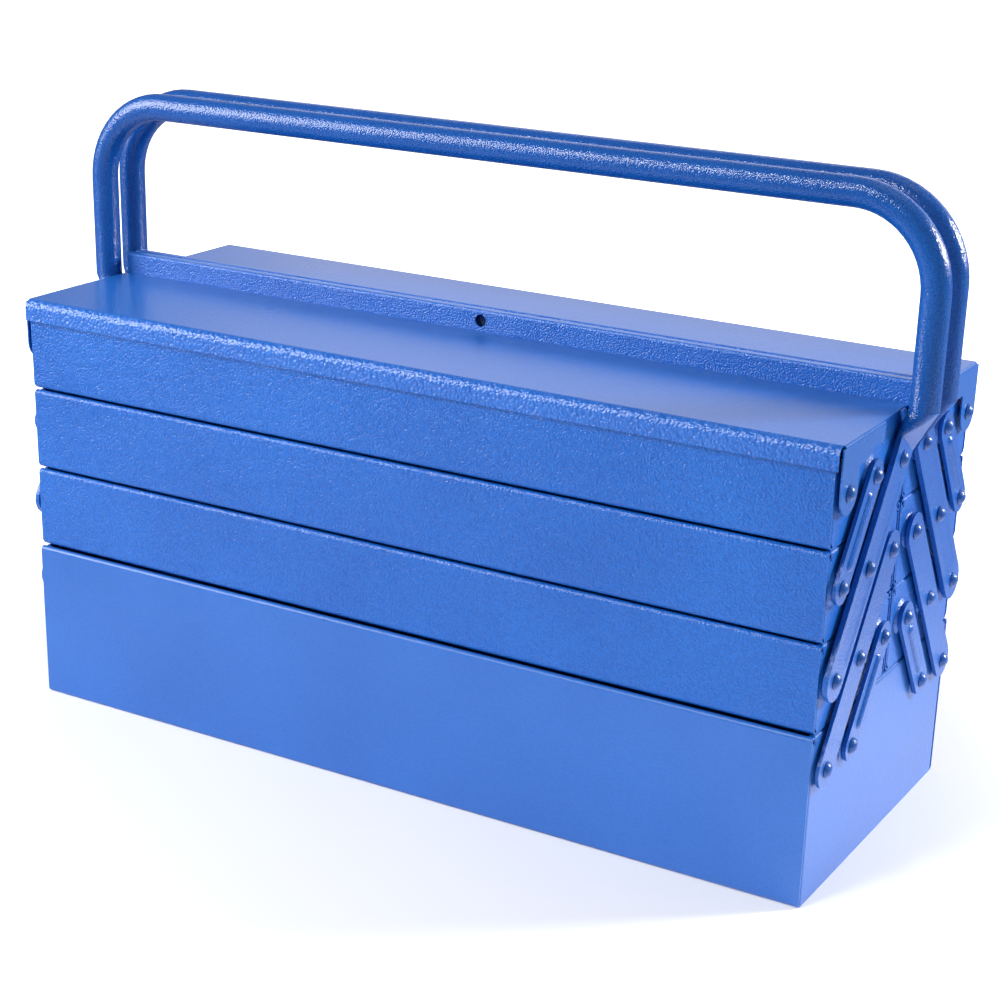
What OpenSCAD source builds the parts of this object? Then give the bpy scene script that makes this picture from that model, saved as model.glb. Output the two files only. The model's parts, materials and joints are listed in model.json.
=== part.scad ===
// Cantilever tool box: one bottom box, six half trays on folding arms,
// two hinged lids and two tube handles whose flattened legs are the main arms.
// Millimetres. X runs along the length, Y to the rear, Z up; origin at bottom centre.

/* [Bottom box] */
// Length of the bottom box
box_l = 500; // [400:5:600]
// Depth of the bottom box, front to rear
box_d = 197; // [187:1:217]
// Height of the bottom box to its rim
box_h = 95; // [75:1:130]

/* [Trays] */
// Rise from the rim of one tier to the rim of the next
tier_h = 48.5; // [44:0.5:58]
// How far a tray wall stands behind the bottom box wall
tray_step = 1.5; // [1:0.1:2]
// How much shorter a tray is than the bottom box at each end
tray_short = 0.3; // [0.2:0.1:0.8]
// Gap between the front and rear trays
centre_gap = 2; // [1.6:0.1:4]

/* [Sheet] */
// Sheet thickness
sheet_t = 0.8; // [0.6:0.1:1]
// Outer radius of the rolled rims
curl_r = 2.2; // [1.8:0.1:2.5]
// Outer radius of the floor bends of the trays
bend_r = 4; // [2.8:0.1:4.4]
// Outer radius of the floor bends of the bottom box
base_r = 2.4; // [1.6:0.1:3]
// Depth of the flanges on the end plates
flange_d = 10; // [6:1:16]

/* [Lids] */
// Height of the front lip of a lid
lip_h = 12; // [9:0.5:13]
// Outer radius of the bend at the front of a lid
lid_r = 5; // [4:0.5:6]
// Height of the centre ridge over the lid
ridge_h = 12; // [10.5:0.5:16]
// Distance of the ridge face from the centre
ridge_y = 7; // [6:0.5:10]
// Radius of the padlock hole
lock_r = 3.5; // [2.5:0.1:4]

/* [Arms] */
// Thickness of the strip arms
arm_t = 2; // [1.5:0.1:2.5]
// Width of the lower arms
arm_w = 20; // [17:0.5:21]
// Width of the ribbed links
link_w = 17; // [15:0.5:18]
// Height of the rib on a link
rib_h = 1.6; // [1.2:0.1:2]
// Radius of the rivet shanks
rivet_r = 2.5; // [2:0.1:3]

/* [Handles] */
// Outer diameter of the handle tube
tube_d = 15.5; // [13:0.5:16]
// Wall of the handle tube
tube_t = 1.2; // [1:0.1:1.6]
// Height of the handle bar centre over the lid
bar_rise = 103; // [85:1:130]
// Bend radius of the handle corners at the tube centre
corner_r = 46; // [35:1:55]
// Distance of the handle bar from the centre
bar_y = 12.5; // [11.5:0.5:13.5]
// Thickness of the flattened legs
leg_t = 2.8; // [2.4:0.1:3.4]

/* [Hidden] */
$fn = 64;

paint = [0.16, 0.36, 0.80];
paint_dark = [0.12, 0.28, 0.66];
// named clearances
seam = 0.1;
stack_gap = 0.3;
tray_gap = 0.9;
side_gap = 0.25;
bore_gap = 0.06;
sweep_gap = 0.5;
flap_gap = 2.5;
leg_gap = 0.8;
// lengths
half_l = box_l / 2;
tray_hl = half_l - tray_short;
// bend at the corners of an end plate
pan_r = 2.4;
// walls of a front tray
wall_y = -(box_d / 2 - tray_step);
inner_y = -centre_gap / 2;
// pivot lattice
pivot_drop = 20.5;
first_y = -(box_d / 2 - 13);
last_y = inner_y - 16;
pitch = (last_y - first_y) / 2;
lean = atan2(pitch, tier_h);
link_len = sqrt(pitch * pitch + tier_h * tier_h);
function col(k) = first_y + k * pitch;
function row(i) = box_h - pivot_drop + i * tier_h;
// tier heights
function floor_z(i) = box_h + i * tier_h + tray_gap;
function rim_z(i) = box_h + (i + 1) * tier_h;
// lid levels, and the top tray rims that let it swing
lid_under = rim_z(2) + 4.5;
lid_top = lid_under + sheet_t;
swing_r = lid_under - row(3) - sweep_gap;
curl_dy = wall_y + curl_r - first_y;
top_rim = row(3) + curl_r + sqrt(pow(swing_r - curl_r, 2) - curl_dy * curl_dy);
seat_z = lid_under - stack_gap;
// ends, from the plates outward
boss_x = half_l + 1.5;
arm_x = boss_x + side_gap;
boss_r = 10;
boss_top_r = 8;
head_r = 4.3;
head_h = 3;
tail_h = 1.2;
head_gap = 0.2;
// lid ends
flap_x = tray_hl + flap_gap;
flap_out = flap_x + sheet_t;
flap_r = sheet_t + 0.8;
lip_y = wall_y - 1.2 - sheet_t;
flap_front = lip_y + 3 * sheet_t;
flap_back = last_y - 0.76 * pitch;
lobe_r = 11;
// handle
tube_r = tube_d / 2;
leg_x = flap_out + leg_gap + tube_r;
leg_w = 22;
bar_z = lid_top + bar_rise;
leg_z = lid_top + 8;

// draws a Y Z outline along X
module along_x(x0, x1) {
  translate([x0, 0, 0]) rotate([90, 0, 90]) linear_extrude(x1 - x0) children();
}

// draws an X Z outline along Y
module along_y(y0, y1) {
  translate([0, y1, 0]) rotate([90, 0, 0]) linear_extrude(y1 - y0) children();
}

// quarter of a sheet bend
module bend_2d(r, u, v) {
  intersection() {
    difference() {
      circle(r);
      circle(r - sheet_t);
    }
    translate([u < 0 ? -r : 0, v < 0 ? -r : 0]) square(r);
  }
}

module curl_2d() {
  difference() {
    circle(curl_r);
    circle(curl_r - sheet_t);
  }
}

// folded floor and two walls with rolled rims
module trough_2d(y0, y1, z0, z_first, z_second, r) {
  translate([y0 + r, z0]) square([y1 - y0 - 2 * r, sheet_t]);
  translate([y0 + r, z0 + r]) bend_2d(r, -1, -1);
  translate([y1 - r, z0 + r]) bend_2d(r, 1, -1);
  translate([y0, z0 + r]) square([sheet_t, z_first - curl_r - z0 - r]);
  translate([y1 - sheet_t, z0 + r]) square([sheet_t, z_second - curl_r - z0 - r]);
  translate([y0 + curl_r, z_first - curl_r]) curl_2d();
  translate([y1 - curl_r, z_second - curl_r]) curl_2d();
}

// plate with two side flanges, seen from above
module pan_2d(x1, y0, y1) {
  translate([x1 - sheet_t, y0 + pan_r]) square([sheet_t, y1 - y0 - 2 * pan_r]);
  translate([x1 - pan_r, y0 + pan_r]) bend_2d(pan_r, 1, -1);
  translate([x1 - pan_r, y1 - pan_r]) bend_2d(pan_r, 1, 1);
  translate([x1 - pan_r - flange_d, y0]) square([flange_d, sheet_t]);
  translate([x1 - pan_r - flange_d, y1 - sheet_t]) square([flange_d, sheet_t]);
}

// end plate of the right end, between walls y0 and y1, notched round the rims
module end_plate(x1, y0, y1, z0, z1, cut0, cut1, low0, low1, bosses, plain, r) {
  base_z = z0 + sheet_t + seam;
  difference() {
    union() {
      translate([0, 0, base_z])
        linear_extrude(z1 - curl_r - base_z) pan_2d(x1, y0 + sheet_t + seam, y1 - sheet_t - seam);
      along_y(y0 + cut0, y1 - cut1) translate([x1 - curl_r, z1 - curl_r]) curl_2d();
      for (p = bosses)
        translate([x1, p[0], p[1]]) rotate([0, 90, 0])
          cylinder(h = boss_x - x1, r1 = boss_r, r2 = boss_top_r);
    }
    translate([x1 - 3 * flange_d, y0, low0]) cube([4 * flange_d, cut0, z1]);
    translate([x1 - 3 * flange_d, y1 - cut1, low1]) cube([4 * flange_d, cut1, z1]);
    translate([x1 - 3 * flange_d, y0, z0]) rotate([0, 90, 0]) cylinder(h = 4 * flange_d, r = r);
    translate([x1 - 3 * flange_d, y1, z0]) rotate([0, 90, 0]) cylinder(h = 4 * flange_d, r = r);
    for (p = bosses) {
      translate([x1 - sheet_t, p[0], p[1]]) rotate([0, 90, 0])
        cylinder(h = boss_x - x1, r1 = boss_r - 0.5, r2 = boss_top_r - 0.5);
      translate([x1 - 5, p[0], p[1]]) rotate([0, 90, 0]) cylinder(h = 20, r = rivet_r + bore_gap);
    }
    for (p = plain)
      translate([x1 - 5, p[0], p[1]]) rotate([0, 90, 0]) cylinder(h = 20, r = rivet_r + bore_gap);
  }
}

// one rivet of the right end: tail inside at x0, dome outside at x1
module rivet(x0, x1, p) {
  dome_r = (head_r * head_r + head_h * head_h) / (2 * head_h);
  translate([0, p[0], p[1]]) rotate([0, 90, 0]) {
    translate([0, 0, x0 - tail_h]) cylinder(h = tail_h, r = rivet_r + 1.6);
    translate([0, 0, x0 - tail_h]) cylinder(h = x1 - x0 + tail_h + 0.5, r = rivet_r);
    intersection() {
      translate([0, 0, x1 + head_h - dome_r]) sphere(dome_r);
      translate([0, 0, x1]) cylinder(h = head_h + 1, r = head_r + 1);
    }
  }
}

module both_ends() {
  children();
  mirror([1, 0, 0]) children();
}

module rear() {
  mirror([0, 1, 0]) children();
}

module left() {
  mirror([1, 0, 0]) children();
}

// flat arm through pivots p and q of the right end
module strip_2d(p, q, w) {
  run = norm(q - p);
  translate(p) rotate(atan2(q[1] - p[1], q[0] - p[0])) translate([0, -w / 2]) square([run, w]);
  translate(p) circle(w / 2);
  translate(q) circle(w / 2);
}

module arm_bores(points) {
  for (p = points)
    translate([arm_x - 5, p[0], p[1]]) rotate([0, 90, 0]) cylinder(h = 20, r = rivet_r + bore_gap);
}

module capsule(p, q, r, inset) {
  run = norm(q - p) - 2 * inset;
  translate([arm_x + arm_t + rib_h - link_w / 4, p[0], p[1]])
    rotate([-atan2(q[0] - p[0], q[1] - p[1]), 0, 0]) translate([0, 0, inset]) {
      cylinder(h = run, r = r);
      sphere(r);
      translate([0, 0, run]) sphere(r);
    }
}

// ribbed link between pivots p and q
module ribbed_link(p, q) {
  inset = rivet_r + head_r + link_w / 4 + 1;
  difference() {
    union() {
      along_x(arm_x, arm_x + arm_t) strip_2d(p, q, link_w);
      intersection() {
        capsule(p, q, link_w / 4, inset);
        translate([arm_x, p[0] - 100, p[1] - 100]) cube([20, 300, 300]);
      }
    }
    capsule(p, q, link_w / 4 - 1, inset);
    arm_bores([p, q]);
  }
}

module lower_arm() {
  points = [[col(0), row(0)], [col(1), row(1)], [col(2), row(2)]];
  difference() {
    along_x(arm_x, arm_x + arm_t) strip_2d(points[0], points[2], arm_w);
    arm_bores(points);
  }
}

module short_link() {
  ribbed_link([col(1), row(0)], [col(2), row(1)]);
}

module lid_link() {
  ribbed_link([col(0), row(2)], [col(1), row(3)]);
}

module bottom_trough_form() {
  along_x(-half_l, half_l) trough_2d(-box_d / 2, box_d / 2, 0, box_h, box_h, base_r);
}

module bottom_end_form() {
  cut = 2 * curl_r + stack_gap;
  low = box_h - 2 * curl_r - stack_gap;
  bosses = [[col(0), row(0)], [col(1), row(0)], [-col(0), row(0)], [-col(1), row(0)]];
  end_plate(half_l, -box_d / 2, box_d / 2, 0, box_h, cut, cut, low, low, bosses, [], base_r);
}

module bottom_rivets_form() {
  for (y = [col(0), col(1), -col(0), -col(1)])
    both_ends() rivet(boss_x - sheet_t, arm_x + arm_t + head_gap, [y, row(0)]);
}

module tray_trough(i) {
  along_x(-tray_hl, tray_hl)
    trough_2d(wall_y, inner_y, floor_z(i), i == 2 ? top_rim : rim_z(i),
      i == 2 ? seat_z : rim_z(i), bend_r);
}

module tray_end(i) {
  cut = 2 * curl_r + stack_gap;
  low = rim_z(i) - cut;
  bosses = [[col(0), row(i + 1)], [col(1), row(i + 1)], [col(2), row(i + 1)]];
  if (i < 2)
    end_plate(tray_hl, wall_y, inner_y, floor_z(i), rim_z(i), cut, cut, low, low, bosses, [], bend_r);
  else
    end_plate(tray_hl, wall_y, inner_y, floor_z(2), seat_z, first_y - wall_y + 2, cut,
      top_rim - cut, seat_z - cut, [bosses[1], bosses[2]], [bosses[0]], bend_r);
}

// arm thickness met at each pivot of a tray: flattened legs are thicker than strips
module tray_rivets(i) {
  legs = [leg_t, arm_t, arm_t];
  legs_upper = [arm_t, leg_t, arm_t];
  legs_top = [0, arm_t, leg_t];
  thick = i == 0 ? legs : i == 1 ? legs_upper : legs_top;
  for (k = [i == 2 ? 1 : 0 : 2])
    both_ends() rivet(boss_x - sheet_t, arm_x + thick[k] + head_gap, [col(k), row(i + 1)]);
}

module lid_rivets() {
  both_ends() rivet(tray_hl - sheet_t, flap_out + head_gap, [col(0), row(3)]);
}

// lip, top and half ridge of a lid
module lid_2d() {
  back_y = inner_y + 0.4;
  ridge_top = lid_top + ridge_h;
  small_r = 2 * sheet_t;
  translate([lip_y, lid_top - lip_h]) square([sheet_t, lip_h - lid_r]);
  translate([lip_y + lid_r, lid_top - lid_r]) bend_2d(lid_r, -1, 1);
  translate([lip_y + lid_r, lid_under]) square([-ridge_y - lip_y - lid_r + sheet_t, sheet_t]);
  translate([-ridge_y, lid_under]) square([sheet_t, ridge_top - small_r - lid_under]);
  translate([-ridge_y + small_r, ridge_top - small_r]) bend_2d(small_r, -1, 1);
  translate([-ridge_y + small_r, ridge_top - sheet_t])
    square([ridge_y + back_y - 2 * small_r, sheet_t]);
  translate([back_y - small_r, ridge_top - small_r]) bend_2d(small_r, 1, 1);
  translate([back_y - sheet_t, lid_under + sheet_t / 2])
    square([sheet_t, ridge_top - small_r - lid_under - sheet_t / 2]);
}

// end flap of a lid: a lobe round the hinge, cut away over the link boss
module flap_2d() {
  low = row(3) + boss_r + 1.2;
  top = lid_top - flap_r;
  difference() {
    union() {
      translate([col(0), row(3)]) circle(lobe_r);
      polygon([[flap_front, top], [flap_back, top], [flap_back, low], [col(0) + lobe_r, low],
        [col(0) + lobe_r, row(3)], [col(0) - lobe_r, row(3)], [flap_front, row(3) + lobe_r / 2]]);
    }
    translate([col(1), row(3)]) circle(boss_r + 6);
    translate([col(0), row(3)]) circle(rivet_r + bore_gap);
  }
}

module lid_form() {
  difference() {
    union() {
      along_x(-flap_out + flap_r, flap_out - flap_r) lid_2d();
      both_ends() {
        along_x(flap_x, flap_out) flap_2d();
        along_y(lip_y + lid_r, flap_back) translate([flap_out - flap_r, lid_top - flap_r]) bend_2d(flap_r, 1, 1);
      }
    }
    translate([0, 5, lid_top + ridge_h / 2]) rotate([90, 0, 0]) cylinder(h = ridge_y + 10, r = lock_r);
  }
}

// slices the taper of a leg runs through
module round_slice() {
  translate([leg_x, -bar_y, leg_z + 2]) cylinder(h = 3, d = tube_d - 1, $fn = 32);
}

module middle_slice() {
  translate([leg_x - 2.6, 0.2 - bar_y, row(3) + 17]) rotate([-lean * 0.45, 0, 0])
    scale([0.58, 1.16, 1]) cylinder(h = 1, d = tube_d, $fn = 32);
}

module flat_slice() {
  translate([arm_x + leg_t / 2, last_y, row(3)]) rotate([-lean, 0, 0])
    for (v = [-1, 1])
      translate([0, v * (leg_w - leg_t) / 2, head_r - 0.5]) cylinder(h = 1, d = leg_t - 0.4, $fn = 16);
}

// flattened leg: the main arm, through three pivots
module leg_arm() {
  run = 2 * link_len + head_r + 2;
  along_x(arm_x, arm_x + leg_t) translate([col(0), row(1)]) {
    rotate(90 - lean) translate([0, -leg_w / 2]) square([run, leg_w]);
    circle(leg_w / 2);
  }
}

// bar, corners and straight legs of a handle at tube radius r
module handle_path(r, low) {
  span = leg_x - corner_r;
  translate([-span, -bar_y, bar_z]) rotate([0, 90, 0]) cylinder(h = 2 * span, r = r);
  both_ends() {
    translate([span, -bar_y, bar_z - corner_r]) rotate([90, 0, 0])
      rotate_extrude(angle = 90) translate([corner_r, 0]) circle(r);
    translate([leg_x, -bar_y, low]) cylinder(h = bar_z - corner_r - low, r = r);
  }
}

module handle_form() {
  difference() {
    union() {
      handle_path(tube_r, leg_z + 1);
      both_ends() {
        leg_arm();
        hull() {
          round_slice();
          middle_slice();
          flat_slice();
        }
      }
    }
    handle_path(tube_r - tube_t, leg_z + 4);
    both_ends() arm_bores([[col(0), row(1)], [col(1), row(2)], [col(2), row(3)]]);
  }
}

module bottom_trough() color(paint) bottom_trough_form();
module bottom_end_left() color(paint) left() bottom_end_form();
module bottom_end_right() color(paint) bottom_end_form();
module bottom_rivets() color(paint_dark) bottom_rivets_form();
module front_lower_trough() color(paint) tray_trough(0);
module front_lower_end_left() color(paint) left() tray_end(0);
module front_lower_end_right() color(paint) tray_end(0);
module front_lower_rivets() color(paint_dark) tray_rivets(0);
module front_upper_trough() color(paint) tray_trough(1);
module front_upper_end_left() color(paint) left() tray_end(1);
module front_upper_end_right() color(paint) tray_end(1);
module front_upper_rivets() color(paint_dark) tray_rivets(1);
module front_top_trough() color(paint) tray_trough(2);
module front_top_end_left() color(paint) left() tray_end(2);
module front_top_end_right() color(paint) tray_end(2);
module front_top_rivets() color(paint_dark) tray_rivets(2);
module rear_lower_trough() color(paint) rear() tray_trough(0);
module rear_lower_end_left() color(paint) rear() left() tray_end(0);
module rear_lower_end_right() color(paint) rear() tray_end(0);
module rear_lower_rivets() color(paint_dark) rear() tray_rivets(0);
module rear_upper_trough() color(paint) rear() tray_trough(1);
module rear_upper_end_left() color(paint) rear() left() tray_end(1);
module rear_upper_end_right() color(paint) rear() tray_end(1);
module rear_upper_rivets() color(paint_dark) rear() tray_rivets(1);
module rear_top_trough() color(paint) rear() tray_trough(2);
module rear_top_end_left() color(paint) rear() left() tray_end(2);
module rear_top_end_right() color(paint) rear() tray_end(2);
module rear_top_rivets() color(paint_dark) rear() tray_rivets(2);
module front_lid() color(paint) lid_form();
module rear_lid() color(paint) rear() lid_form();
module front_lid_rivets() color(paint_dark) lid_rivets();
module rear_lid_rivets() color(paint_dark) rear() lid_rivets();
module front_handle() color(paint_dark) handle_form();
module rear_handle() color(paint_dark) rear() handle_form();
module front_lower_arm_left() color(paint_dark) left() lower_arm();
module front_lower_arm_right() color(paint_dark) lower_arm();
module rear_lower_arm_left() color(paint_dark) rear() left() lower_arm();
module rear_lower_arm_right() color(paint_dark) rear() lower_arm();
module front_short_link_left() color(paint_dark) left() short_link();
module front_short_link_right() color(paint_dark) short_link();
module rear_short_link_left() color(paint_dark) rear() left() short_link();
module rear_short_link_right() color(paint_dark) rear() short_link();
module front_lid_link_left() color(paint_dark) left() lid_link();
module front_lid_link_right() color(paint_dark) lid_link();
module rear_lid_link_left() color(paint_dark) rear() left() lid_link();
module rear_lid_link_right() color(paint_dark) rear() lid_link();

bottom_trough();
bottom_end_left();
bottom_end_right();
bottom_rivets();
front_lower_trough();
front_lower_end_left();
front_lower_end_right();
front_lower_rivets();
front_upper_trough();
front_upper_end_left();
front_upper_end_right();
front_upper_rivets();
front_top_trough();
front_top_end_left();
front_top_end_right();
front_top_rivets();
rear_lower_trough();
rear_lower_end_left();
rear_lower_end_right();
rear_lower_rivets();
rear_upper_trough();
rear_upper_end_left();
rear_upper_end_right();
rear_upper_rivets();
rear_top_trough();
rear_top_end_left();
rear_top_end_right();
rear_top_rivets();
front_lid();
rear_lid();
front_lid_rivets();
rear_lid_rivets();
front_handle();
rear_handle();
front_lower_arm_left();
front_lower_arm_right();
rear_lower_arm_left();
rear_lower_arm_right();
front_short_link_left();
front_short_link_right();
rear_short_link_left();
rear_short_link_right();
front_lid_link_left();
front_lid_link_right();
rear_lid_link_left();
rear_lid_link_right();
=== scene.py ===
import json
import math
import bpy
from mathutils import Euler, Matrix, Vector


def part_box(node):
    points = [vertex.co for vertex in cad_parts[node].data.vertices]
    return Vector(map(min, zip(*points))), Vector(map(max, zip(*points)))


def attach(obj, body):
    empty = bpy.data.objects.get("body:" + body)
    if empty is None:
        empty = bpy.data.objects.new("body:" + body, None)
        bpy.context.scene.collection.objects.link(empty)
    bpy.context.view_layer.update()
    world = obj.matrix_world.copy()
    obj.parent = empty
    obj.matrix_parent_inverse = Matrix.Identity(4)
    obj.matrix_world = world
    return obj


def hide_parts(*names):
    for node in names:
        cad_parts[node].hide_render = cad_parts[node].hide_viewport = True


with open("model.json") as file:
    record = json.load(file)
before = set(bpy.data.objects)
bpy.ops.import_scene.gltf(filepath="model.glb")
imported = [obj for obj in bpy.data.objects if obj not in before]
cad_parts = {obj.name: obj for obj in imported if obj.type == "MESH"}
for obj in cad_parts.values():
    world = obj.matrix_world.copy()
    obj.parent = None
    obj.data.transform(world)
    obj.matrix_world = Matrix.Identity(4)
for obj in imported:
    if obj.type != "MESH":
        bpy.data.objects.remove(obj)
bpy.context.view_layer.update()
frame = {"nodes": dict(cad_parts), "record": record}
mm = 0.001
print("frame loaded:", len(frame["nodes"]), "nodes")


# small helpers

def deselect():
    if bpy.context.object and bpy.context.object.mode != "OBJECT":
        bpy.ops.object.mode_set(mode="OBJECT")
    bpy.ops.object.select_all(action="DESELECT")


def makeActive(piece):
    deselect()
    piece.select_set(True)
    bpy.context.view_layer.objects.active = piece


def pickVerts(piece, test):
    bpy.ops.object.mode_set(mode="OBJECT")
    for face in piece.data.polygons:
        face.select = False
    for edge in piece.data.edges:
        edge.select = False
    for vert in piece.data.vertices:
        vert.select = test(vert.co)
    bpy.ops.object.mode_set(mode="EDIT")
    bpy.ops.mesh.select_mode(type="VERT")


def applyModifiers(piece):
    makeActive(piece)
    for name in [m.name for m in piece.modifiers]:
        bpy.ops.object.modifier_apply(modifier=name)


def dress(piece, name, body, nodes, materials):
    piece.name = name
    piece.data.name = name
    piece.data.materials.clear()
    for material in materials:
        piece.data.materials.append(material)
    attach(piece, body)
    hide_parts(*nodes)


def bodyOf(node):
    for body, members in frame["record"]["behaviour"]["bodies"].items():
        if node in members:
            return body


# node groups: hammered enamel with painted shade in its dimples, and wear chips along the edges, tinted
# pale lavender as a painted highlight

def newGroup(name, inputs, outputs):
    group = bpy.data.node_groups.new(name, "ShaderNodeTree")
    for label, kind, value in inputs:
        socket = group.interface.new_socket(name=label, in_out="INPUT", socket_type=kind)
        if value is not None:
            socket.default_value = value
    for label, kind in outputs:
        group.interface.new_socket(name=label, in_out="OUTPUT", socket_type=kind)
    return group, group.nodes.new("NodeGroupInput"), group.nodes.new("NodeGroupOutput")


def addNode(tree, kind, links=None, **values):
    node = tree.nodes.new(kind)
    for key, value in values.items():
        setattr(node, key, value)
    for socket, source in (links or {}).items():
        if isinstance(source, bpy.types.NodeSocket):
            tree.links.new(source, node.inputs[socket])
        else:
            node.inputs[socket].default_value = source
    return node


def mathNode(tree, operation, first, second=None, clamp=False):
    links = {0: first}
    if second is not None:
        links[1] = second
    return addNode(tree, "ShaderNodeMath", links, operation=operation, use_clamp=clamp).outputs[0]


hammer = {
    "driftScale": 260.0,
    "driftReach": 0.7 * mm,
    "smoothness": 0.5,
    "beadPower": 1.5,
    "fineScale": 900.0,
    "fineShare": 0.35,
    "swellScale": 75.0,
    "toneScale": 9.0,
    "toneSpan": (0.3, 0.7),
    "dimpleShadeGain": 2.2,
}


def buildHammerGroup():
    group, inside, outside = newGroup(
        "hammeredEnamel",
        [("Grain Size", "NodeSocketFloat", 620.0), ("Swell", "NodeSocketFloat", 0.5)],
        [("Height", "NodeSocketFloat"), ("Tone", "NodeSocketFloat"), ("Dimple Shade", "NodeSocketFloat")],
    )
    place = addNode(group, "ShaderNodeTexCoord").outputs["Object"]
    drift = addNode(group, "ShaderNodeTexNoise", {"Vector": place, "Scale": hammer["driftScale"],
                                                  "Detail": 2.0})
    offset = addNode(group, "ShaderNodeVectorMath", {0: drift.outputs["Color"], 1: (0.5, 0.5, 0.5)},
                     operation="SUBTRACT").outputs[0]
    offset = addNode(group, "ShaderNodeVectorMath", {0: offset, "Scale": hammer["driftReach"]},
                     operation="SCALE").outputs[0]
    warped = addNode(group, "ShaderNodeVectorMath", {0: place, 1: offset}, operation="ADD").outputs[0]
    cells = addNode(group, "ShaderNodeTexVoronoi",
                    {"Vector": warped, "Scale": inside.outputs["Grain Size"],
                     "Smoothness": hammer["smoothness"]},
                    feature="SMOOTH_F1")
    beads = mathNode(group, "POWER", cells.outputs["Distance"], hammer["beadPower"])
    fine = addNode(group, "ShaderNodeTexNoise", {"Vector": place, "Scale": hammer["fineScale"],
                                                 "Detail": 2.0})
    swell = addNode(group, "ShaderNodeTexNoise", {"Vector": place, "Scale": hammer["swellScale"],
                                                  "Detail": 2.0})
    height = mathNode(group, "MULTIPLY", beads, -1.0)
    grit = mathNode(group, "MULTIPLY", fine.outputs["Fac"], hammer["fineShare"])
    height = mathNode(group, "ADD", height, grit)
    swelling = mathNode(group, "MULTIPLY", swell.outputs["Fac"], inside.outputs["Swell"])
    group.links.new(mathNode(group, "ADD", height, swelling), outside.inputs["Height"])
    tone = addNode(group, "ShaderNodeTexNoise", {"Vector": place, "Scale": hammer["toneScale"],
                                                 "Detail": 4.0})
    low, high = hammer["toneSpan"]
    tone = addNode(group, "ShaderNodeMapRange", {"Value": tone.outputs["Fac"], "From Min": low,
                                                 "From Max": high, "To Min": 0.0, "To Max": 1.0})
    group.links.new(tone.outputs["Result"], outside.inputs["Tone"])
    # strongest in the dimples of the grain: painted shade in its hollows
    dimpleShade = mathNode(group, "MULTIPLY", beads, hammer["dimpleShadeGain"], clamp=True)
    group.links.new(dimpleShade, outside.inputs["Dimple Shade"])
    return group


chips = {"patchScale": 34.0, "none": 0.47, "reach": 0.16, "fade": 0.03, "fullAt": 8.0}


# speck mask for the edge chips: part wear, and with their pale lavender tint part painted highlight
def buildChipSheenGroup():
    group, inside, outside = newGroup(
        "edgeChipsAndSheen",
        [("Amount", "NodeSocketFloat", 0.5), ("Speck Size", "NodeSocketFloat", 380.0)],
        [("Mask", "NodeSocketFloat")],
    )
    place = addNode(group, "ShaderNodeTexCoord").outputs["Object"]
    patches = addNode(group, "ShaderNodeTexNoise", {"Vector": place, "Scale": chips["patchScale"],
                                                    "Detail": 3.0})
    specks = addNode(group, "ShaderNodeTexNoise",
                     {"Vector": place, "Scale": inside.outputs["Speck Size"], "Detail": 2.0})
    both = mathNode(group, "MULTIPLY", patches.outputs["Fac"], specks.outputs["Fac"])
    lower = mathNode(group, "MULTIPLY", inside.outputs["Amount"], chips["reach"])
    level = mathNode(group, "SUBTRACT", chips["none"], lower)
    mask = addNode(group, "ShaderNodeMapRange", {"Value": both, "From Min": level, "To Min": 0.0,
                                                 "To Max": 1.0})
    group.links.new(mathNode(group, "ADD", level, chips["fade"]), mask.inputs["From Max"])
    # an amount of zero leaves no chips at all
    spread = mathNode(group, "MULTIPLY", inside.outputs["Amount"], chips["fullAt"], clamp=True)
    group.links.new(mathNode(group, "MULTIPLY", mask.outputs["Result"], spread), outside.inputs["Mask"])
    return group


hammerGroup = buildHammerGroup()
chipSheenGroup = buildChipSheenGroup()

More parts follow.
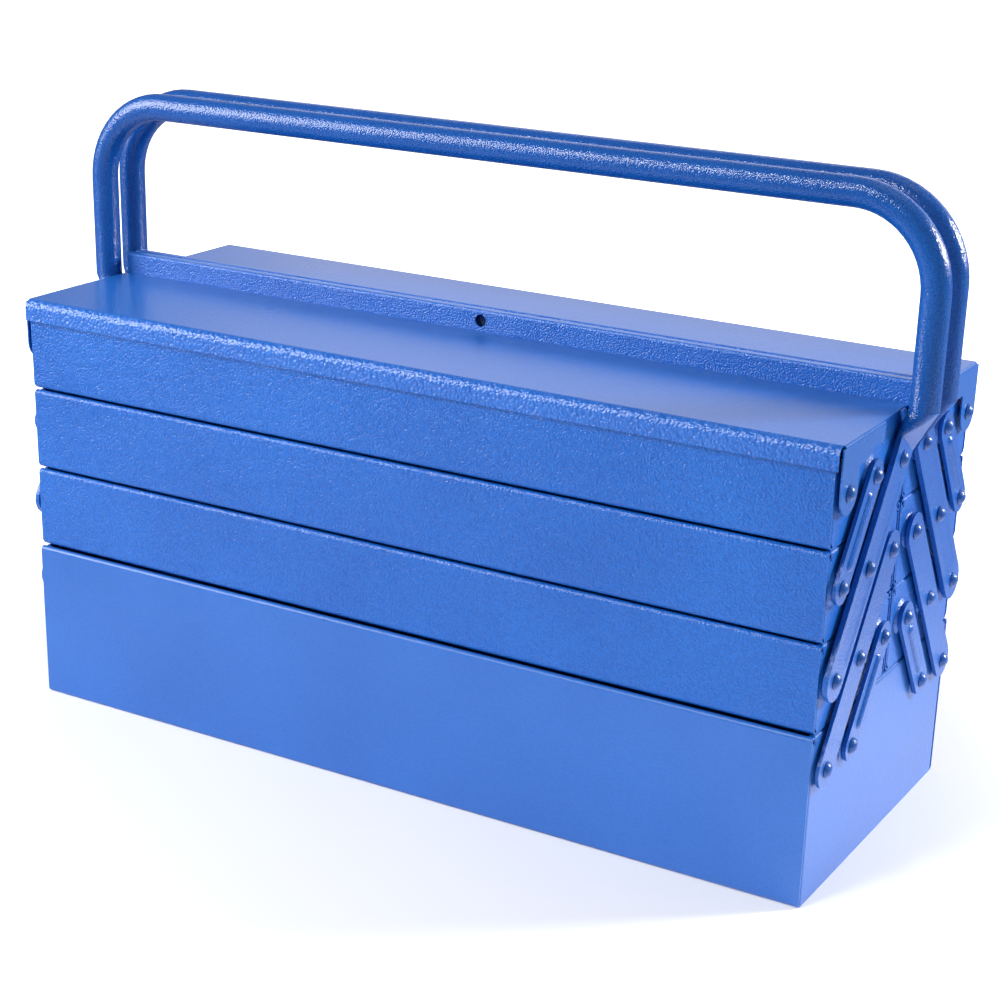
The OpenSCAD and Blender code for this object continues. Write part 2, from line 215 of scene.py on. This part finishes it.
# one blue enamel in copies, part by part; besides the grain and a random tone between dark and light, the
# copies differ in base colour, and the darker and lighter ones noted below are painted shade and painted
# highlight
enamel = {
    "boxPaint": {"dark": (0.014, 0.122, 0.47), "light": (0.020, 0.148, 0.55), "rough": 0.34, "ior": 1.6,
                 "grain": 800.0, "bump": 0.16, "dimpleShade": 0.22, "chipSheen": 0.0},
    "trayPaint": {"dark": (0.003, 0.126, 0.53), "light": (0.006, 0.160, 0.62), "rough": 0.30, "ior": 1.58,
                  "grain": 960.0, "bump": 0.68, "dimpleShade": 0.60, "chipSheen": 0.0},
    "endPaint": {"dark": (0.006, 0.130, 0.55), "light": (0.012, 0.164, 0.64), "rough": 0.36, "ior": 1.565,
                 "grain": 800.0, "bump": 0.36, "dimpleShade": 0.45, "chipSheen": 0.0},
    # darker copy for the lid, lighter ones for its ridge and lip: painted shade on the top, painted
    # highlight on the upright faces
    "lidShadedPaint": {"dark": (0.009, 0.117, 0.465), "light": (0.011, 0.125, 0.485), "rough": 0.28, "ior": 1.6,
                 "grain": 560.0, "bump": 0.14, "dimpleShade": 0.30, "chipSheen": 0.0},
    "ridgeLitPaint": {"dark": (0.006, 0.130, 0.55), "light": (0.014, 0.168, 0.64), "rough": 0.30, "ior": 1.65,
                   "grain": 1050.0, "bump": 0.66, "dimpleShade": 0.45, "chipSheen": 0.0},
    "lipHighlightPaint": {"dark": (0.006, 0.130, 0.55), "light": (0.014, 0.168, 0.64), "rough": 0.32, "ior": 1.69,
                 "grain": 560.0, "bump": 1.0, "dimpleShade": 0.50, "chipSheen": 0.0},
    # darker copy for the round tube of the handles: painted shade
    "tubeShadedPaint": {"dark": (0.003, 0.084, 0.36), "light": (0.007, 0.112, 0.44), "rough": 0.18, "ior": 1.6,
                  "grain": 1050.0, "bump": 0.38, "dimpleShade": 0.60, "chipSheen": 0.0},
    "armPaint": {"dark": (0.005, 0.108, 0.47), "light": (0.010, 0.142, 0.56), "rough": 0.30, "ior": 1.565,
                 "grain": 850.0, "bump": 0.34, "dimpleShade": 0.50, "chipSheen": 0.0},
    "rivetPaint": {"dark": (0.006, 0.085, 0.36), "light": (0.012, 0.110, 0.44), "rough": 0.30, "ior": 1.565,
                   "grain": 1300.0, "bump": 0.20, "dimpleShade": 0.30, "chipSheen": 0.0},
    # lighter copy of the enamel for the bevelled edges: a painted highlight along them
    "edgeHighlightPaint": {"dark": (0.030, 0.180, 0.62), "light": (0.070, 0.250, 0.74), "rough": 0.28, "ior": 1.6,
                  "grain": 900.0, "bump": 0.25, "dimpleShade": 0.25, "chipSheen": 0.10},
}
lacquer = {
    # grey-blue that the dimples of the grain are darkened toward: painted shade
    "dimpleShadeTint": (0.30, 0.45, 0.60, 1.0),
    # pale lavender of the edge chips: part wear, part painted highlight
    "chipSheenTint": (0.40, 0.50, 0.72, 1.0),
    "glossier": 0.01,
    "duller": 0.015,
    "grainHeight": 0.6 * mm,
}


def buildEnamel(name, look):
    material = bpy.data.materials.new(name)
    material.use_nodes = True
    tree = material.node_tree
    tree.nodes.clear()
    output = tree.nodes.new("ShaderNodeOutputMaterial")
    shader = tree.nodes.new("ShaderNodeBsdfPrincipled")
    shader.inputs["IOR"].default_value = look["ior"]
    tree.links.new(shader.outputs[0], output.inputs[0])
    grain = addNode(tree, "ShaderNodeGroup", node_tree=hammerGroup)
    grain.inputs["Grain Size"].default_value = look["grain"]
    chipSheen = addNode(tree, "ShaderNodeGroup", node_tree=chipSheenGroup)
    chipSheen.inputs["Amount"].default_value = look["chipSheen"]
    paint = addNode(tree, "ShaderNodeMix", data_type="RGBA")
    paint.inputs["A"].default_value = (*look["dark"], 1.0)
    paint.inputs["B"].default_value = (*look["light"], 1.0)
    tree.links.new(grain.outputs["Tone"], paint.inputs["Factor"])
    # the enamel darkened in the grain's dimples: painted shade
    dimpleShaded = addNode(tree, "ShaderNodeMix", data_type="RGBA", blend_type="MULTIPLY")
    dimpleShade = mathNode(tree, "MULTIPLY", grain.outputs["Dimple Shade"], look["dimpleShade"])
    tree.links.new(dimpleShade, dimpleShaded.inputs["Factor"])
    tree.links.new(paint.outputs["Result"], dimpleShaded.inputs["A"])
    dimpleShaded.inputs["B"].default_value = lacquer["dimpleShadeTint"]
    # edge chips mixed in, pale lavender: part wear, part painted highlight
    chipsAndSheen = addNode(tree, "ShaderNodeMix", data_type="RGBA")
    tree.links.new(chipSheen.outputs["Mask"], chipsAndSheen.inputs["Factor"])
    tree.links.new(dimpleShaded.outputs["Result"], chipsAndSheen.inputs["A"])
    chipsAndSheen.inputs["B"].default_value = lacquer["chipSheenTint"]
    tree.links.new(chipsAndSheen.outputs["Result"], shader.inputs["Base Color"])
    gloss = addNode(tree, "ShaderNodeMapRange", {"Value": grain.outputs["Tone"],
                                                 "To Min": look["rough"] - lacquer["glossier"],
                                                 "To Max": look["rough"] + lacquer["duller"]})
    tree.links.new(gloss.outputs["Result"], shader.inputs["Roughness"])
    bump = addNode(tree, "ShaderNodeBump", {"Height": grain.outputs["Height"], "Strength": look["bump"],
                                            "Distance": lacquer["grainHeight"]})
    tree.links.new(bump.outputs[0], shader.inputs["Normal"])
    return material


paints = {name: buildEnamel(name, look) for name, look in enamel.items()}
print("materials built:", len(paints))


# folded sheet and strip pieces: the solids' own forms with eased edges

sheetEdges = {
    "bevel": 0.22 * mm,
    "strip": 0.50 * mm,
    "segments": 2,
    "sharp": 40.0,
    "smooth": 32.0,
    "merge": 0.002 * mm,
    "flat": 0.4,
}
lidFold = {
    "foot": 1.3 * mm,
    "segments": 4,
    "face": 7.0 * mm,
    "top": 245.8 * mm,
    "lip": 12.5 * mm,
    "upright": 0.25,
    "near": 0.05 * mm,
}


def roundFoot(piece):
    # round bend where the lid's sheet turns up into the ridge
    pickVerts(piece, lambda co: abs(co.z - lidFold["top"]) < lidFold["near"]
              and abs(abs(co.y) - lidFold["face"]) < lidFold["near"])
    bpy.ops.mesh.bevel(offset=lidFold["foot"], segments=lidFold["segments"], affect="EDGES")
    bpy.ops.object.mode_set(mode="OBJECT")


def easedCopy(node, paint):
    piece = bpy.data.objects.new(node + "_skin", frame["nodes"][node].data.copy())
    bpy.context.scene.collection.objects.link(piece)
    makeActive(piece)
    bpy.ops.object.mode_set(mode="EDIT")
    bpy.ops.mesh.select_all(action="SELECT")
    bpy.ops.mesh.remove_doubles(threshold=sheetEdges["merge"])
    bpy.ops.mesh.dissolve_limited(angle_limit=math.radians(sheetEdges["flat"]))
    bpy.ops.object.mode_set(mode="OBJECT")
    if node.endswith("_lid"):
        roundFoot(piece)
    edge = piece.modifiers.new("easedEdges", "BEVEL")
    edge.width = sheetEdges["strip" if "arm_" in node or "link_" in node else "bevel"]
    edge.segments = sheetEdges["segments"]
    edge.limit_method = "ANGLE"
    edge.angle_limit = math.radians(sheetEdges["sharp"])
    edge.use_clamp_overlap = True
    # the bevel faces take the lighter edge enamel, a painted highlight along every sharp edge
    edge.material = 1
    dress(piece, node + "_skin", bodyOf(node), [node], [paint, paints["edgeHighlightPaint"]])
    applyModifiers(piece)
    # the lid's upright faces near the top take lighter copies of the enamel, one for the ridge and one for
    # the lip band: a painted highlight
    if node.endswith("_lid"):
        piece.data.materials.append(paints["ridgeLitPaint"])
        piece.data.materials.append(paints["lipHighlightPaint"])
        for face in piece.data.polygons:
            upright = abs(face.normal.y) > lidFold["upright"]
            above = face.center.z > lidFold["top"] - lidFold["lip"]
            if face.material_index == 0 and upright and above:
                face.material_index = 2 if face.center.z > lidFold["top"] else 3  # ridge, else lip
    bpy.ops.object.shade_smooth_by_angle(angle=math.radians(sheetEdges["smooth"]))
    flat = piece.modifiers.new("flatFaces", "WEIGHTED_NORMAL")  # broad faces keep their own normals
    flat.mode = "FACE_AREA"
    flat.weight = 100
    flat.keep_sharp = True
    applyModifiers(piece)
    return piece


for node in frame["nodes"]:
    if node == "bottom_trough" or node.startswith("bottom_end"):
        easedCopy(node, paints["boxPaint"])
    elif node.endswith("trough"):
        easedCopy(node, paints["trayPaint"])
    elif "_end_" in node:
        easedCopy(node, paints["endPaint"])
    elif node.endswith("_lid"):
        easedCopy(node, paints["lidShadedPaint"])
    elif "arm_" in node or "link_" in node:
        easedCopy(node, paints["armPaint"])
print("sheet and strip pieces eased")


# tube handles: bent bar, legs crushed flat, then bent to the lean of the arms

pivots = {j["name"]: j["pos_m"] for j in frame["record"]["behaviour"]["joints"]}
topLeg = pivots["front_top_tray_level"][1:]
lowLeg = (pivots["front_lid_open"][1], pivots["front_lower_tray_level"][2])
lean = math.atan2(topLeg[0] - lowLeg[0], topLeg[1] - lowLeg[1])
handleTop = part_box("front_handle")[1]
tube = {
    "radius": 7.75 * mm,
    "corner": 46 * mm,
    "barY": -12.5 * mm,
    "legInner": 251.75 * mm,
    "legThick": 2.8 * mm,
    "legHalf": 11 * mm,
    "crushTop": 245 * mm,
    "crushRings": 8,
    "groove": 0.45 * mm,
    "grooveHalf": 6.6 * mm,
    "grooveTop": 16 * mm,
    "grooveEnd": 9 * mm,
    "grooveRun": 4 * mm,
    "around": 32,
    "barParts": 4,
    "cornerSteps": 14,
    "endAngles": (20, 40, 56, 70, 80, 87),
    "smooth": 22.0,
    "facetFacing": 0.5,
    "near": 0.01 * mm,
    "step": 0.1 * mm,
    "merge": 0.02 * mm,
}
tube["barZ"] = handleTop.z - tube["radius"]
tube["legX"] = handleTop.x - tube["radius"]
tube["knee"] = topLeg[1] + (tube["barY"] - topLeg[0]) / math.tan(lean)  # where tube and arm lines cross
tube["crushLow"] = tube["knee"] + 0.6 * mm


def between(first, last, share):
    return first + (last - first) * share


def drawDown(level, newLevel, side=0):
    bpy.ops.mesh.extrude_region_move(TRANSFORM_OT_translate={"value": (side, 0, newLevel - level)})
    return newLevel


def flattenRing(piece, level, plane, outward):
    pickVerts(piece, lambda co: abs(co.z - level) < tube["near"] and (co.x - plane) * outward > 0)
    bpy.ops.transform.resize(value=(0, 1, 1), center_override=(plane, 0, 0))


def crushLeg(piece, level):
    middle, wide = tube["legX"], tube["radius"]
    for ring in range(1, tube["crushRings"] + 1):
        share = ring / tube["crushRings"]
        newMiddle = between(tube["legX"], tube["legInner"] + tube["legThick"] / 2, share)
        newWide = between(tube["radius"], tube["legHalf"], share)
        level = drawDown(level, between(tube["crushTop"], tube["crushLow"], share), newMiddle - middle)
        bpy.ops.transform.resize(value=(1, newWide / wide, 1),
                                 center_override=(newMiddle, tube["barY"], level))
        middle, wide = newMiddle, newWide
        outer = between(tube["legX"] + tube["radius"], tube["legInner"] + tube["legThick"], share)
        inner = between(tube["legX"] - tube["radius"], tube["legInner"], share)
        flattenRing(piece, level, outer, 1)
        flattenRing(piece, level, inner, -1)
        pickVerts(piece, lambda co: abs(co.z - level) < tube["near"])
    return level


def leanArm(piece, span):
    # the crush turns ring by ring into the lean of the arm
    barY, knee = tube["barY"], tube["knee"]
    bpy.ops.object.mode_set(mode="OBJECT")
    turns = {}
    for vert in piece.data.vertices:
        if vert.co.x > span and vert.co.z < tube["crushTop"] - tube["step"]:
            level = max(vert.co.z, tube["crushLow"])
            share = (tube["crushTop"] - level) / (tube["crushTop"] - tube["crushLow"])
            height = level if vert.co.z > tube["crushLow"] - tube["step"] else knee
            turns.setdefault((round(share, 3), round(height, 6)), set()).add(vert.index)
    for (share, height), ring in turns.items():
        bpy.ops.object.mode_set(mode="OBJECT")
        for vert in piece.data.vertices:
            vert.select = vert.index in ring
        for edge in piece.data.edges:
            edge.select = False
        for face in piece.data.polygons:
            face.select = False
        bpy.ops.object.mode_set(mode="EDIT")
        bpy.ops.mesh.select_mode(type="VERT")
        bpy.ops.transform.rotate(value=lean * share, orient_axis="X", center_override=(0, barY, height))
    bpy.ops.object.mode_set(mode="OBJECT")


def buildHandle():
    barY, barZ, legX = tube["barY"], tube["barZ"], tube["legX"]
    span = legX - tube["corner"]
    deselect()
    bpy.ops.mesh.primitive_circle_add(vertices=tube["around"], radius=tube["radius"],
                                      location=(0, barY, barZ), rotation=(0, math.radians(90), 0))
    piece = bpy.context.object
    bpy.ops.object.transform_apply(location=True, rotation=True, scale=True)
    bpy.ops.object.mode_set(mode="EDIT")
    bpy.ops.mesh.select_all(action="SELECT")
    for part in range(tube["barParts"]):
        bpy.ops.mesh.extrude_region_move(TRANSFORM_OT_translate={"value": (span / tube["barParts"], 0, 0)})
    bpy.ops.mesh.spin(steps=tube["cornerSteps"], angle=math.radians(-90), axis=(0, 1, 0),
                      center=(span, barY, barZ - tube["corner"]))
    level = drawDown(barZ - tube["corner"], tube["crushTop"])
    level = crushLeg(piece, level)
    strip = math.hypot(tube["knee"] - lowLeg[1], barY - lowLeg[0])
    lowest = tube["knee"] - strip
    grooveTop, grooveLow = tube["knee"] - tube["grooveTop"], lowest + tube["grooveEnd"]
    run = tube["grooveRun"]
    for height in (grooveTop, grooveTop - run, grooveLow + run, grooveLow, lowest):
        level = drawDown(level, height)
    narrow = tube["legHalf"]
    for angle in tube["endAngles"]:
        level = drawDown(level, lowest - tube["legHalf"] * math.sin(math.radians(angle)))
        newNarrow = tube["legHalf"] * math.cos(math.radians(angle))
        bpy.ops.transform.resize(value=(1, newNarrow / narrow, 1), center_override=(0, barY, level))
        narrow = newNarrow
    bpy.ops.mesh.edge_face_add()
    face = tube["legInner"] + tube["legThick"] - tube["step"]
    within = 0.75 * run
    pickVerts(piece, lambda co: grooveLow + within < co.z < grooveTop - within and co.x > face
              and abs(co.y - barY) < tube["grooveHalf"])
    bpy.ops.transform.translate(value=(-tube["groove"], 0, 0))
    leanArm(piece, span)
    other = piece.modifiers.new("otherLeg", "MIRROR")
    other.use_axis = (True, False, False)
    other.merge_threshold = tube["merge"]
    applyModifiers(piece)
    return piece


def finishHandle(piece, side):
    makeActive(piece)
    bpy.ops.object.mode_set(mode="EDIT")
    bpy.ops.mesh.select_all(action="SELECT")
    bpy.ops.mesh.normals_make_consistent(inside=False)
    bpy.ops.object.mode_set(mode="OBJECT")
    dress(piece, side + "_handle_tube", side + "_handle_frame", [side + "_handle"],
          [paints["tubeShadedPaint"], paints["armPaint"]])
    # the round tube takes the darker enamel, the crushed strip and the outward facet the lighter arm
    # enamel: painted shade and highlight on one tube
    for face in piece.data.polygons:
        outward = face.normal.x if face.center.x > 0 else -face.normal.x
        facet = face.center.z < tube["crushTop"] and outward > tube["facetFacing"]
        face.material_index = int(face.center.z < tube["knee"] or facet)
    bpy.ops.object.shade_smooth_by_angle(angle=math.radians(tube["smooth"]))


frontHandle = buildHandle()
rearHandle = bpy.data.objects.new("rear_handle_tube", frontHandle.data.copy())
bpy.context.scene.collection.objects.link(rearHandle)
makeActive(rearHandle)
bpy.ops.object.mode_set(mode="EDIT")
bpy.ops.mesh.select_all(action="SELECT")
bpy.ops.transform.resize(value=(1, -1, 1), center_override=(0, 0, 0))
bpy.ops.object.mode_set(mode="OBJECT")
finishHandle(frontHandle, "front")
finishHandle(rearHandle, "rear")
print("handles modelled")


# rivets: turned from rings along X, tail inside and dome outside

rivet = {
    "shank": 2.5 * mm,
    "head": 4.3 * mm,
    "headHeight": 3.0 * mm,
    "tail": 4.1 * mm,
    "tailHeight": 1.2 * mm,
    "around": 24,
    "domeRings": 7,
    "headEdge": 0.12 * mm,
    "tailEdge": 0.15 * mm,
    "tailRim": 0.5 * mm,
    "smooth": 40.0,
}
grips = {  # faces that a rivet holds together, from the inside out
    "strip": (250.7 * mm, 253.95 * mm),
    "leg": (250.7 * mm, 254.75 * mm),
    "lid": (248.9 * mm, 253.2 * mm),
}
columns = [pivots["front_" + n][1] for n in ("lid_open", "handle_turn", "top_tray_level")]
rows = [pivots["front_" + n][2] for n in ("fold", "lower_tray_level", "handle_turn", "lid_open")]
seats = {  # column, row and grip of the rivets in a front node
    "bottom": [(0, 0, "strip"), (1, 0, "strip")],
    "lower": [(0, 1, "leg"), (1, 1, "strip"), (2, 1, "strip")],
    "upper": [(0, 2, "strip"), (1, 2, "leg"), (2, 2, "strip")],
    "top": [(1, 3, "strip"), (2, 3, "leg")],
    "lid": [(0, 3, "lid")],
}


def buildRivet(grip):
    inside, outside = grips[grip]
    tail, shank, head = rivet["tail"], rivet["shank"], rivet["head"]
    dome = (head ** 2 + rivet["headHeight"] ** 2) / (2 * rivet["headHeight"])
    start = math.asin(head / dome)
    headEdge, tailEdge = rivet["headEdge"], rivet["tailEdge"]
    rings = [(inside - 0.85 * rivet["tailHeight"], tail), (inside - tailEdge, tail),
             (inside, tail - tailEdge), (inside, shank), (outside, shank), (outside, head - headEdge),
             (outside + headEdge, head)]
    for ring in range(1, rivet["domeRings"]):
        angle = start * (1 - ring / rivet["domeRings"])
        rings.append((outside + rivet["headHeight"] - dome * (1 - math.cos(angle)), dome * math.sin(angle)))
    spot, wide = inside - rivet["tailHeight"], tail - rivet["tailRim"]
    deselect()
    bpy.ops.mesh.primitive_circle_add(vertices=rivet["around"], radius=wide, location=(spot, 0, 0),
                                      rotation=(0, math.radians(90), 0))
    piece = bpy.context.object
    bpy.ops.object.transform_apply(location=True, rotation=True, scale=True)
    bpy.ops.object.mode_set(mode="EDIT")
    bpy.ops.mesh.select_all(action="SELECT")
    first = spot
    for newSpot, newWide in rings:
        bpy.ops.mesh.extrude_region_move(TRANSFORM_OT_translate={"value": (newSpot - spot, 0, 0)})
        bpy.ops.transform.resize(value=(1, newWide / wide, newWide / wide), center_override=(newSpot, 0, 0))
        spot, wide = newSpot, newWide
    bpy.ops.mesh.edge_face_add()
    pickVerts(piece, lambda co: co.x < first + tube["near"])
    bpy.ops.mesh.edge_face_add()
    bpy.ops.object.mode_set(mode="OBJECT")
    return piece


def setRivet(model, column, row, end, side):
    copy = bpy.data.objects.new("rivet", model.data.copy())
    bpy.context.scene.collection.objects.link(copy)
    copy.location = (0, columns[column] * side, rows[row])
    copy.scale = (end, 1, 1)
    makeActive(copy)
    bpy.ops.object.transform_apply(location=True, rotation=True, scale=True)
    return copy


models = {grip: buildRivet(grip) for grip in grips}
for node in [n for n in frame["nodes"] if n.endswith("_rivets")]:
    words = node.split("_")
    sides = {"front": (1,), "rear": (-1,), "bottom": (1, -1)}[words[0]]
    made = [setRivet(models[grip], column, row, end, side)
            for column, row, grip in seats[words[-2]] for end in (1, -1) for side in sides]
    makeActive(made[0])
    for copy in made:
        copy.select_set(True)
    bpy.ops.object.join()
    bpy.ops.object.mode_set(mode="EDIT")
    bpy.ops.mesh.select_all(action="SELECT")
    bpy.ops.mesh.normals_make_consistent(inside=False)
    bpy.ops.object.mode_set(mode="OBJECT")
    dress(made[0], node + "_turned", bodyOf(node), [node], [paints["rivetPaint"]])
    bpy.ops.object.shade_smooth_by_angle(angle=math.radians(rivet["smooth"]))
for model in models.values():
    bpy.data.objects.remove(model)
print("rivets modelled")


# camera at the photograph's view

view = {"place": (0.5910, -1.0034, 0.5346), "azimuth": 29.93, "elevation": 21.19, "roll": 1.52,
        "lens": 76.53, "rise": 0.10, "reach": 50.0}
deselect()
bpy.ops.object.camera_add(location=view["place"])
camera = bpy.context.object
turn = Euler((math.radians(90 - view["elevation"]), 0, math.radians(view["azimuth"]))).to_matrix()
turn = turn @ Euler((0, 0, math.radians(view["roll"]))).to_matrix()
camera.rotation_euler = turn.to_euler()
camera.data.lens = view["lens"]
camera.data.shift_y = view["rise"]
camera.data.clip_end = view["reach"]
bpy.context.scene.camera = camera

# pale floor, white surroundings and soft lamps

studio = {
    "floor": (0.92, 0.92, 0.92, 1.0),
    "floorSize": 14.0,
    "floorRough": 0.9,
    "tint": (0.80, 0.82, 1.0, 1.0),  # cool cast of what the paint reflects
    "diffuse": 0.30,
    "gloss": (0.22, 1.40),  # dim all round, bright behind
    "glossLeft": (-0.68, -0.55),
    "glossRight": (0.14, 0.46),
    "glossFront": (-0.2, 0.3),
    "glossTop": (0.42, 0.62),
    "nearFloor": 0.22,
    "farFloor": 0.80,
    "fill": 1.15,
    # in reflections alone the floor shows the cool tint, fading dark with distance: a painted reflection
    "floorGloss": (0.34, 0.70, 0.20),  # bright out to, dark from, and how dark
    # glowing patch on the floor by the right end, seen only in reflections, a painted reflection in the
    # right end: middle, full to, ends at and strength
    "pool": ((0.38, 0.05, 0), 0.08, 0.32, 0.92),
    "lamps": [  # place, aim, size and power
        ("keyLamp", (-0.28, -1.3, 1.6), (0, 0, 0.2), 0.38, 13.0),
        ("leftLamp", (-1.45, -1.0, 0.95), (-0.15, 0, 0.15), 1.3, 39.0),
        ("topLamp", (0.5, 0.5, 2.4), (0, 0, 0.2), 1.2, 3.0),
        ("endLamp", (1.25, 0.9, 0.8), (0.25, 0, 0.1), 0.40, 29.0),
    ],
}
deselect()
bpy.ops.mesh.primitive_plane_add(size=studio["floorSize"], location=(0, 0, 0))
floor = bpy.context.object
floor.name = "floor"
floorPaint = bpy.data.materials.new("floorPaint")
floorPaint.use_nodes = True
tree = floorPaint.node_tree
floorShader = tree.nodes["Principled BSDF"]
floorShader.inputs["Roughness"].default_value = studio["floorRough"]
place = addNode(tree, "ShaderNodeTexCoord").outputs["Object"]
away = addNode(tree, "ShaderNodeVectorMath", {0: place}, operation="LENGTH").outputs["Value"]
fade = addNode(tree, "ShaderNodeMapRange", {"Value": away, "From Min": studio["nearFloor"],
                                            "From Max": studio["farFloor"], "To Max": studio["fill"]},
               interpolation_type="SMOOTHSTEP").outputs["Result"]
rays = addNode(tree, "ShaderNodeLightPath")
poolMiddle, poolFull, poolEnd, poolPower = studio["pool"]
aside = addNode(tree, "ShaderNodeVectorMath", {0: place, 1: poolMiddle},
                operation="DISTANCE").outputs["Value"]
pool = addNode(tree, "ShaderNodeMapRange", {"Value": aside, "From Min": poolEnd, "From Max": poolFull,
                                            "To Max": poolPower},
               interpolation_type="SMOOTHSTEP").outputs["Result"]
seenFloor = mathNode(tree, "MULTIPLY", fade, rays.outputs["Is Camera Ray"])
# the patch glows only for glossy rays: a painted reflection
glossFloor = mathNode(tree, "MULTIPLY", pool, rays.outputs["Is Glossy Ray"])
tree.links.new(mathNode(tree, "ADD", seenFloor, glossFloor), floorShader.inputs["Emission Strength"])
cast = addNode(tree, "ShaderNodeMix", {"A": (1, 1, 1, 1), "B": studio["tint"]}, data_type="RGBA")
tree.links.new(rays.outputs["Is Glossy Ray"], cast.inputs["Factor"])
tree.links.new(cast.outputs["Result"], floorShader.inputs["Emission Color"])
# base colour seen in reflections: cool tint near the box, dark further out, a painted reflection
brightTo, darkFrom, dark = studio["floorGloss"]
dim = addNode(tree, "ShaderNodeMapRange", {"Value": away, "From Min": brightTo, "From Max": darkFrom,
                                           "To Max": 1 - dark},
              interpolation_type="SMOOTHSTEP").outputs["Result"]
reflectedFloorTint = addNode(tree, "ShaderNodeMix", {"A": studio["tint"], "B": (0, 0, 0, 1)}, data_type="RGBA")
tree.links.new(dim, reflectedFloorTint.inputs["Factor"])
shown = addNode(tree, "ShaderNodeMix", {"A": studio["floor"]}, data_type="RGBA")
tree.links.new(rays.outputs["Is Glossy Ray"], shown.inputs["Factor"])
tree.links.new(reflectedFloorTint.outputs["Result"], shown.inputs["B"])
tree.links.new(shown.outputs["Result"], floorShader.inputs["Base Color"])
floor.data.materials.append(floorPaint)

world = bpy.data.worlds.new("studio")
bpy.context.scene.world = world
world.use_nodes = True
tree = world.node_tree
background = tree.nodes["Background"]
rays = tree.nodes.new("ShaderNodeLightPath")
cast = addNode(tree, "ShaderNodeMix", {"A": (1, 1, 1, 1), "B": studio["tint"]}, data_type="RGBA")
tree.links.new(rays.outputs["Is Glossy Ray"], cast.inputs["Factor"])
tree.links.new(cast.outputs["Result"], background.inputs["Color"])
way = addNode(tree, "ShaderNodeTexCoord").outputs["Generated"]
way = addNode(tree, "ShaderNodeSeparateXYZ", {0: way})


def band(value, start, end):
    return addNode(tree, "ShaderNodeMapRange", {"Value": value, "From Min": start, "From Max": end},
                   interpolation_type="SMOOTHSTEP").outputs["Result"]


behind = mathNode(tree, "MULTIPLY", band(way.outputs["X"], *studio["glossLeft"]),
                  mathNode(tree, "SUBTRACT", 1.0, band(way.outputs["X"], *studio["glossRight"])))
behind = mathNode(tree, "MULTIPLY", behind, band(way.outputs["Y"], *studio["glossFront"]))
behind = mathNode(tree, "MULTIPLY", behind,
                  mathNode(tree, "SUBTRACT", 1.0, band(way.outputs["Z"], *studio["glossTop"])))
gloss = addNode(tree, "ShaderNodeMapRange", {"Value": behind, "To Min": studio["gloss"][0],
                                             "To Max": studio["gloss"][1]}).outputs["Result"]
level = addNode(tree, "ShaderNodeMapRange", {"Value": rays.outputs["Is Glossy Ray"],
                                             "To Min": studio["diffuse"], "To Max": gloss})
seen = mathNode(tree, "MAXIMUM", level.outputs["Result"], rays.outputs["Is Camera Ray"])
tree.links.new(seen, background.inputs["Strength"])

for name, place, aim, size, power in studio["lamps"]:
    deselect()
    bpy.ops.object.light_add(type="AREA", location=place)
    lamp = bpy.context.object
    lamp.name = name
    lamp.data.shape = "DISK"
    lamp.data.size = size
    lamp.data.energy = power
    lamp.visible_camera = False
    lamp.rotation_euler = (Vector(aim) - Vector(place)).to_track_quat("-Z", "Y").to_euler()
bpy.context.scene.view_settings.view_transform = "Standard"
print("studio set")
